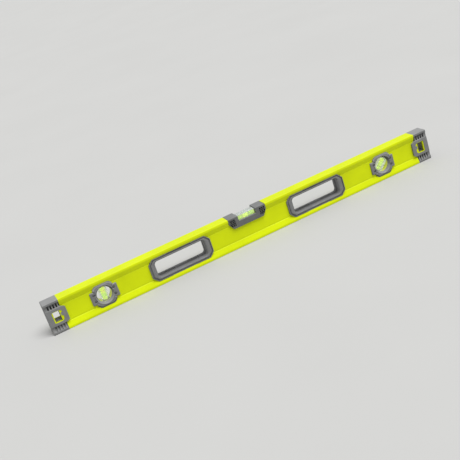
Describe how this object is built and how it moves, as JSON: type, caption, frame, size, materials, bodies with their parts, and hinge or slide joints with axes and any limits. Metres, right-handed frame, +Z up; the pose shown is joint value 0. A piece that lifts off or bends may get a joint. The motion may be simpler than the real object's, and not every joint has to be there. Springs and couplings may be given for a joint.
{
  "type": "spirit level",
  "caption": "Box-section spirit level with hand grips, a centre vial in the top edge, a plumb vial, a 45 degree vial and end caps with hanging holes.",
  "frame": {"origin": "middle of the lower working face, on the surface that the level stands on", "axes": "+X along the level towards the end with the 45 degree vial, +Y from the front to the back across the working faces, +Z up from the lower working face to the upper one"},
  "size_m": [0.8, 0.026, 0.06],
  "materials": {
    "rail_coat": "fluorescent yellow-green powder coat on extruded aluminium, satin, very fine orange peel",
    "cap_rubber": "mid-grey moulded rubber, fine spark-eroded texture",
    "core_plastic": "yellow-green moulded plastic, satin",
    "grip_plastic": "mid-grey moulded plastic with a soft matt texture",
    "cover_plastic": "mid-grey moulded plastic with a soft matt texture",
    "holder_plastic": "dark grey moulded plastic, satin, knurled pads",
    "acrylic": "clear machined acrylic",
    "liquid": "bright green-yellow vial liquid",
    "bubble": "air bubble",
    "plug_plastic": "pale yellow sealing plug",
    "line_ink": "black ink set in a groove of the bore",
    "screw_steel": "black-oxide steel screws"
  },
  "bodies": {
    "level": {"frame_rail": "rail_coat", "left_end_cap": "cap_rubber", "right_end_cap": "cap_rubber", "left_cap_core": "core_plastic", "right_cap_core": "core_plastic", "left_hang_bush": "cap_rubber", "right_hang_bush": "cap_rubber", "left_grip_front": "grip_plastic", "left_grip_back": "grip_plastic", "right_grip_front": "grip_plastic", "right_grip_back": "grip_plastic", "plumb_vial_front_cover": "cover_plastic", "plumb_vial_back_cover": "cover_plastic", "plumb_vial_sleeve": "core_plastic", "plumb_vial_block": "acrylic", "plumb_vial_liquid": "liquid", "plumb_vial_plug": "plug_plastic", "plumb_vial_lines": "line_ink", "plumb_vial_screws": "screw_steel", "angle_vial_front_cover": "cover_plastic", "angle_vial_back_cover": "cover_plastic", "angle_vial_sleeve": "core_plastic", "angle_vial_block": "acrylic", "angle_vial_liquid": "liquid", "angle_vial_plug": "plug_plastic", "angle_vial_lines": "line_ink", "angle_vial_screws": "screw_steel", "centre_vial_holder": "holder_plastic", "centre_vial_block": "acrylic", "centre_vial_liquid": "liquid", "centre_vial_plug": "plug_plastic", "centre_vial_lines": "line_ink"},
    "plumb_bubble": {"plumb_vial_bubble": "bubble"},
    "angle_bubble": {"angle_vial_bubble": "bubble"},
    "centre_bubble": {"centre_vial_bubble": "bubble"}
  },
  "joints": [
    {"name": "plumb_bubble_travel", "type": "slide", "parent": "level", "child": "plumb_bubble", "axis": [0, 0, 1], "range_m": [-0.0121, 0], "stiffness_N_per_m": 0.8, "springref_m": 0.02},
    {"name": "angle_bubble_travel", "type": "slide", "parent": "level", "child": "angle_bubble", "axis": [0.7071, 0, 0.7071], "range_m": [-0.0121, 0], "stiffness_N_per_m": 0.8, "springref_m": 0.02},
    {"name": "centre_bubble_travel", "type": "slide", "parent": "level", "child": "centre_bubble", "axis": [1, 0, 0], "range_m": [-0.011, 0.011], "stiffness_N_per_m": 0.8}
  ]
}
